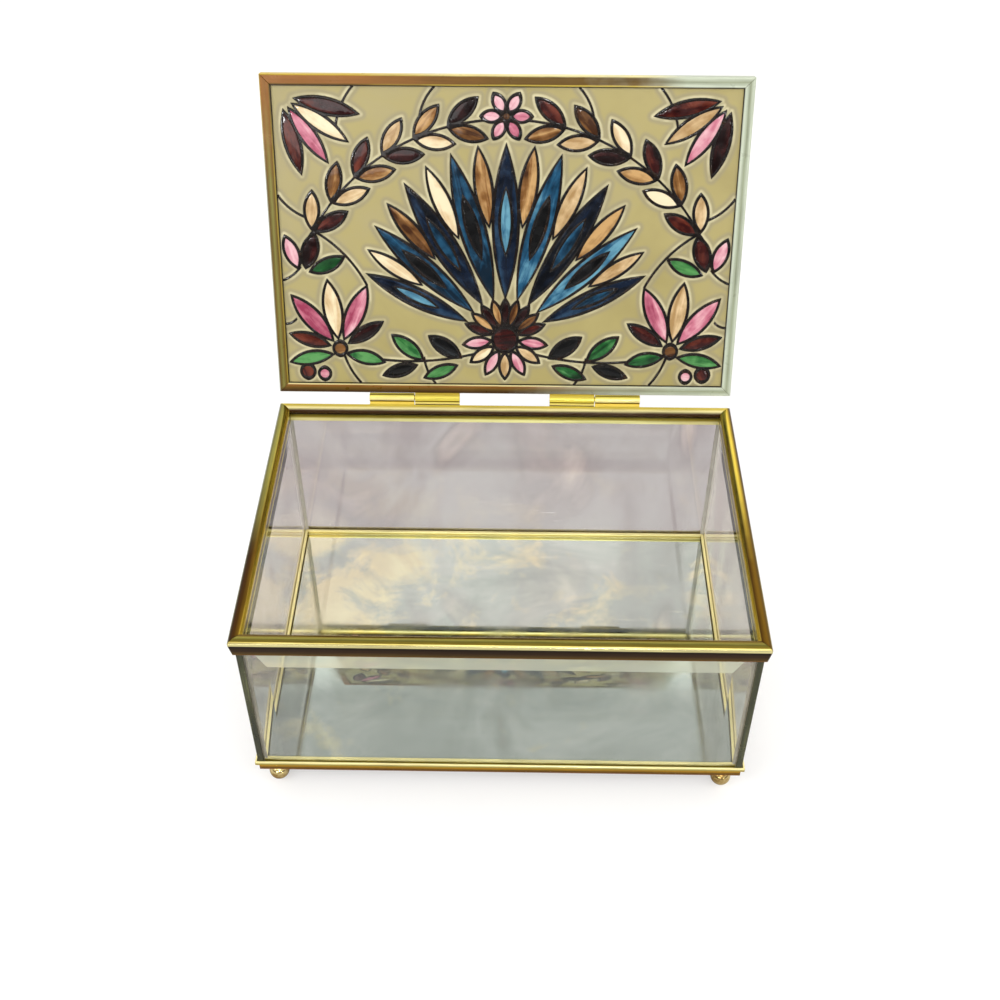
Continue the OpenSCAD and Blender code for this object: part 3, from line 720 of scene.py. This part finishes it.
def hinges():
    """Leaves and pins of the two hinges."""
    height = AXIS.z * math.cos(HINGE_TILT) + AXIS.y * math.sin(HINGE_TILT)
    section = ("Z", height - HINGE_BELOW, height + HINGE_ABOVE)
    ends = ends_of(RIM_LOW, RIM_HIGH, "back")
    leaf_brass = {
        place: painted_reflection_brass("hinge_brass_" + place, "across", section, ends, ((MIDDLE, knuckle_painted_light(*seams)),),
                     HINGE_METAL, tilt=HINGE_TILT)
        for place, seams in HINGE_SHADE_LINES.items()
    }
    pin_brass = brass("pin_brass", "across", "6b5518", "b0923c", "e8d080", PIN_POLISH)
    for side in HINGES:
        middle = sum(abs(p.x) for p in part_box(f"hinge_{side}_pin")) / 2
        for part in ("box_leaf", "lid_leaf", "pin"):
            far = sum(abs(p.x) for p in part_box(f"hinge_{side}_{part}")) / 2 > middle
            piece = copied(f"hinge_{side}_{part}", f"{part}_{side}_turned")
            round_edges(piece, HINGE_ROUND, 2, SHARP_KNUCKLE)
            smooth(piece, SOFT_BRASS)
            coat(piece, pin_brass if part == "pin" else leaf_brass["outer" if far else "inner"])


def feet():
    """Turned brass balls, flattened where they stand and soldered under the base."""
    finish = brass("foot_brass", "any", "2c1004", "94691e", "ffe8a4", FOOT_POLISH)
    for corner in CORNERS:
        node = "foot_" + corner
        low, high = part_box(node)
        middle = (low + high) / 2
        radius = (high.x - low.x) / 2
        centre = Vector((middle.x, middle.y, math.sqrt(radius ** 2 - FOOT_FLAT ** 2)))
        bpy.ops.object.select_all(action="DESELECT")
        bpy.ops.mesh.primitive_uv_sphere_add(segments=48, ring_count=32, radius=radius, location=centre)
        ball = bpy.context.object
        ball.name = "ball_foot_" + corner
        bpy.ops.object.transform_apply(location=True, rotation=True, scale=True)
        edit(ball)
        for height, up in ((low.z, -1), (high.z, 1)):
            bpy.ops.mesh.select_all(action="SELECT")
            bpy.ops.mesh.bisect(plane_co=(middle.x, middle.y, height), plane_no=(0, 0, up),
                                use_fill=True, clear_outer=True, threshold=0.0001 * MM)
        done()
        round_edges(ball, FOOT_ROUND, 3, SHARP_FOOT)
        smooth(ball, SOFT_FOOT)
        coat(ball, finish)
        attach(ball, body_of(node))
        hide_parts(node)


def walls():
    """The four bevelled plates, with a painted light band on the front bevel and the ground finish on the
    edges.
    """
    edge, bevel, hidden = glass_edge(), bevel_painted_light(), hidden_edge()
    away = {"front": Vector((0, -1, 0)), "back": Vector((0, 1, 0)),
            "left": Vector((-1, 0, 0)), "right": Vector((1, 0, 0))}
    for side in SIDES:
        pane = copied(side + "_glass", side + "_bevelled_pane")
        round_edges(pane, PANE_ROUND, 1, SHARP_PANE)
        coat(pane, wall_glass(side), edge, bevel, hidden)
        for face in pane.data.polygons:
            out = face.normal.dot(away[side])
            bevelled = BEVEL_TURN[0] < out < BEVEL_TURN[1] and face.normal.z > BEVEL_RISE
            if side in ("left", "right") and face.normal.y < -TURNED:
                face.material_index = GROUND_EDGE
            elif abs(out) < TURNED and abs(face.normal.z) < TURNED:
                face.material_index = HIDDEN_EDGE
            elif side == "front" and bevelled:
                face.material_index = BEVEL_FACE


def floor_pieces():
    """The mirror and the card under it, and the adhesive in the corners."""
    mirror = copied("floor_mirror", "mirror_plate")
    round_edges(mirror, MIRROR_ROUND)
    smooth(mirror, SOFT_MIRROR)
    coat(mirror, mirror_glass())
    coat(frame["nodes"]["floor_backing"], card())
    glue = adhesive()
    for corner in CORNERS:
        coat(frame["nodes"]["corner_bead_" + corner], glue)


def raised_top(piece, drop, steps):
    """Rounds over the top of every raised line or inlay by steps of inset and rise."""
    level = max((TO_LID @ v.co).z for v in piece.data.vertices)

    def on_top(face):
        return face.normal.dot(LID_OUT) > 0.9 and (TO_LID @ face.center).z > level - 0.05 * MM

    edit(piece)
    choose_faces(piece, on_top)
    bpy.ops.transform.translate(value=tuple(-drop * LID_OUT))
    for width, rise in steps:
        bpy.ops.mesh.inset(thickness=width, depth=rise, use_boundary=True, use_even_offset=False)
    done()


def lay_grain(piece):
    """Gives each inlay streaks along its own length, and a depth of colour of its own."""
    mesh = piece.data
    grain = mesh.uv_layers.new(name="grain")
    shade = mesh.attributes.new("shade", "FLOAT", "POINT")
    place = {}
    for part in islands(mesh):
        flat = [TO_LID @ mesh.vertices[v].co for v in part]
        cx = sum(p.x for p in flat) / len(flat)
        cy = sum(p.y for p in flat) / len(flat)
        xx = sum((p.x - cx) ** 2 for p in flat)
        yy = sum((p.y - cy) ** 2 for p in flat)
        xy = sum((p.x - cx) * (p.y - cy) for p in flat)
        heading = 0.5 * math.atan2(2 * xy, xx - yy)
        c, s = math.cos(heading), math.sin(heading)
        jump_u, jump_v, depth = rng.random(), rng.random(), rng.random()
        for v, p in zip(part, flat):
            dx, dy = p.x - cx, p.y - cy
            place[v] = (c * dx + s * dy + jump_u, c * dy - s * dx + jump_v)
            shade.data[v].value = depth
    for loop in mesh.loops:
        grain.data[loop.index].uv = place[loop.vertex_index]


def lid_art():
    """The leading and the coloured inlays, rounded over."""
    leading = copied("lid_leading", "raised_leading", flat=0)
    raised_top(leading, LEADING_DROP, LEADING_ROUND)
    smooth(leading, SOFT_RELIEF)
    coat(leading, lead())
    for colour in INLAY_TONES:
        glass = copied("inlays_" + colour, colour + "_inlay", flat=0)
        raised_top(glass, INLAY_DROP, INLAY_ROUND)
        lay_grain(glass)
        smooth(glass, SOFT_RELIEF)
        coat(glass, inlay(colour))
    return leading


def lid_pane():
    """The lid's plate, its inner face let down a little to make room for the frosting."""
    pane = copied("lid_glass", "lid_plate")
    top = max((TO_LID @ v.co).z for v in pane.data.vertices)
    for v in pane.data.vertices:
        if (TO_LID @ v.co).z > top - PLATE_FACE:
            v.co -= PLATE_DROP * LID_OUT
    coat(pane, clear_plate())
    return pane, top


def frosting(pane, top, leading):
    """The thin frosted ground on the plate's inner face, with a painted shadow and a pale halo round the
    leading.
    """
    low, high = corners_on_lid(pane.data)
    wide, deep = high.x - low.x - 2 * FROST_MARGIN, high.y - low.y - 2 * FROST_MARGIN
    bpy.ops.object.select_all(action="DESELECT")
    bpy.ops.mesh.primitive_grid_add(x_subdivisions=round(wide / FROST_CELL),
                                    y_subdivisions=round(deep / FROST_CELL), size=1)
    ground = bpy.context.object
    ground.name = "frosted_ground"
    middle = Vector(((low.x + high.x) / 2, (low.y + high.y) / 2, top + FROST_LIFT + FROST_THICK))
    ground.data.transform(TO_LID.inverted() @ Matrix.Translation(middle)
                          @ Matrix.Diagonal((wide, deep, 1, 1)))
    edit(ground, "EDGE")
    bpy.ops.mesh.select_all(action="SELECT")
    bpy.ops.mesh.region_to_loop()
    bpy.ops.mesh.extrude_edges_move(TRANSFORM_OT_translate={"value": tuple(-FROST_THICK * LID_OUT)})
    bpy.ops.mesh.edge_face_add()
    bpy.ops.mesh.select_all(action="SELECT")
    bpy.ops.mesh.normals_make_consistent(inside=False)
    done()
    tree = BVHTree.FromPolygons([v.co for v in leading.data.vertices],
                                [p.vertices for p in leading.data.polygons])
    halo_and_shadow = ground.data.attributes.new("halo_and_shadow", "FLOAT", "POINT")
    for i, v in enumerate(ground.data.vertices):
        halo_and_shadow.data[i].value = max(0.0, 1 - tree.find_nearest(v.co)[3] / HALO_REACH)
    coat(ground, lid_ground())
    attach(ground, "lid")


# ---------------------------------------------------------------- setting

CAMERA_PLACE = Vector((4.39, -328.7, 377.9)) * MM
CAMERA_PITCH, CAMERA_TURN = 41.96, 0.949
FOCAL_PIXELS, AXIS_ROW, PICTURE = 1294.4, 454.3, 1000
# How many times brighter the room is than its tones are written
ROOM_GAIN = 3


def camera():
    """The camera, a little to the right of the middle and looking down."""
    data = bpy.data.cameras.new("camera")
    data.sensor_width = 36
    data.lens = FOCAL_PIXELS / PICTURE * data.sensor_width
    data.shift_y = (AXIS_ROW - PICTURE / 2) / PICTURE
    data.clip_start, data.clip_end = 0.01, 100
    eye = bpy.data.objects.new("camera", data)
    bpy.context.scene.collection.objects.link(eye)
    eye.location = CAMERA_PLACE
    eye.rotation_euler = (math.radians(90 - CAMERA_PITCH), 0, math.radians(CAMERA_TURN))
    bpy.context.scene.camera = eye


def softbox(name, place, aim, wide, tall, radiance):
    """A white lamp with a rectangular face, turned towards its aim and unseen by the camera."""
    data = bpy.data.lights.new(name, "AREA")
    data.shape = "RECTANGLE"
    data.size, data.size_y = wide, tall
    data.energy = radiance * math.pi * wide * tall
    box = bpy.data.objects.new(name, data)
    bpy.context.scene.collection.objects.link(box)
    box.location = place
    box.rotation_euler = (Vector(aim) - Vector(place)).to_track_quat("-Z", "Y").to_euler()
    box.visible_camera = False


def lights():
    """Two broad windows, a low strip, a fill for the lid and three bright tubes that the gloss shows."""
    middle, lid = (0, 0, 0.06), (0, 0.05, 0.13)
    softbox("window_left", (-1.1, -0.7, 1.2), middle, 0.9, 0.9, 2.2)
    softbox("fill_right", (1.3, -0.3, 0.8), middle, 0.6, 1.0, 1.2)
    softbox("low_strip", (-0.35, -1.5, 0.45), middle, 0.5, 0.18, 3.0)
    softbox("lid_fill", (0.25, -1.35, 1.15), lid, 0.8, 0.5, 1.0)
    for name, x, z in (("tube_left", -0.5, 0.42), ("tube_middle", 0.12, 0.62), ("tube_right", 0.62, 0.36)):
        softbox(name, (x, -1.4, z), lid, 0.05, 0.12, 90.0)


def floor():
    """The white table top, which keeps the object's shadow."""
    bpy.ops.object.select_all(action="DESELECT")
    bpy.ops.mesh.primitive_plane_add(size=12)
    table = bpy.context.object
    table.name = "table"
    f = Finish("table_white", roughness=0.9, specular_ior_level=0.1)
    f.set(base_color=f.ramp(f.noise(3), (0.3, 0.54), (0.7, 0.56)))
    path = f.make("ShaderNodeLightPath")
    seen = f.calc(path.outputs["Is Camera Ray"], path.outputs["Is Transmission Ray"], "MAXIMUM")
    glow = f.make("ShaderNodeEmission", {"Color": (1, 1, 1, 1), "Strength": f.calc(seen, 0.44, "MULTIPLY")})
    both = f.make("ShaderNodeAddShader")
    f.join(f.shader.outputs[0], both.inputs[0])
    f.join(glow.outputs[0], both.inputs[1])
    f.join(both.outputs[0], f.output.inputs["Surface"])
    coat(table, f.material)


def studio():
    """A pale room: white low down, pale green-grey behind, darker overhead and behind the camera."""
    world = bpy.data.worlds.new("studio")
    world.use_nodes = True
    bpy.context.scene.world = world
    tree = world.node_tree
    back = tree.nodes["Background"]
    way = tree.nodes.new("ShaderNodeTexCoord")
    parts = tree.nodes.new("ShaderNodeSeparateXYZ")
    tree.links.new(way.outputs["Generated"], parts.inputs[0])

    def ramp(source, low, high, stops):
        spread = tree.nodes.new("ShaderNodeMapRange")
        spread.inputs["From Min"].default_value = low
        spread.inputs["From Max"].default_value = high
        tree.links.new(source, spread.inputs["Value"])
        node = tree.nodes.new("ShaderNodeValToRGB")
        while len(node.color_ramp.elements) < len(stops):
            node.color_ramp.elements.new(0.5)
        for element, (place, level) in zip(node.color_ramp.elements, stops):
            element.position, element.color = place, (level, level * 0.99, level * 0.97, 1)
        tree.links.new(spread.outputs["Result"], node.inputs["Fac"])
        return node.outputs["Color"]

    def blend(factor, first, second):
        node = tree.nodes.new("ShaderNodeMix")
        node.data_type = "RGBA"
        tree.links.new(factor, node.inputs[0])
        for socket, value in ((node.inputs[6], first), (node.inputs[7], second)):
            if isinstance(value, bpy.types.NodeSocket):
                tree.links.new(value, socket)
            else:
                socket.default_value = value
        return node.outputs[2]

    rear = ramp(parts.outputs["Z"], 0, 1, (
        (0.0, 0.33), (0.4, 0.35), (0.62, 0.567), (0.78, 0.567), (0.84, 0.2), (1.0, 0.18)))
    near = ramp(parts.outputs["Z"], 0, 1, (
        (0.0, 0.06), (0.14, 0.028), (0.3, 0.25), (0.64, 0.2),
        (0.71, 0.85), (0.8, 0.85), (0.84, 0.2), (1.0, 0.18)))
    turn = ramp(parts.outputs["Y"], -1, 1, ((0.3, 0.0), (0.55, 1.0)))
    room = blend(turn, near, rear)
    brighter = tree.nodes.new("ShaderNodeMix")
    brighter.data_type, brighter.blend_type = "RGBA", "MULTIPLY"
    brighter.inputs[0].default_value = 1.0
    brighter.inputs[7].default_value = (ROOM_GAIN, ROOM_GAIN, ROOM_GAIN, 1)
    tree.links.new(room, brighter.inputs[6])
    path = tree.nodes.new("ShaderNodeLightPath")
    seen = blend(path.outputs["Is Camera Ray"], brighter.outputs[2], (1, 1, 1, 1))
    tree.links.new(seen, back.inputs["Color"])
    back.inputs["Strength"].default_value = 1.0


camera()
studio()
lights()
floor()
brass_sections()
hinges()
feet()
walls()
floor_pieces()
relief = lid_art()
frosting(*lid_pane(), relief)
bpy.context.scene.view_settings.view_transform = "Standard"
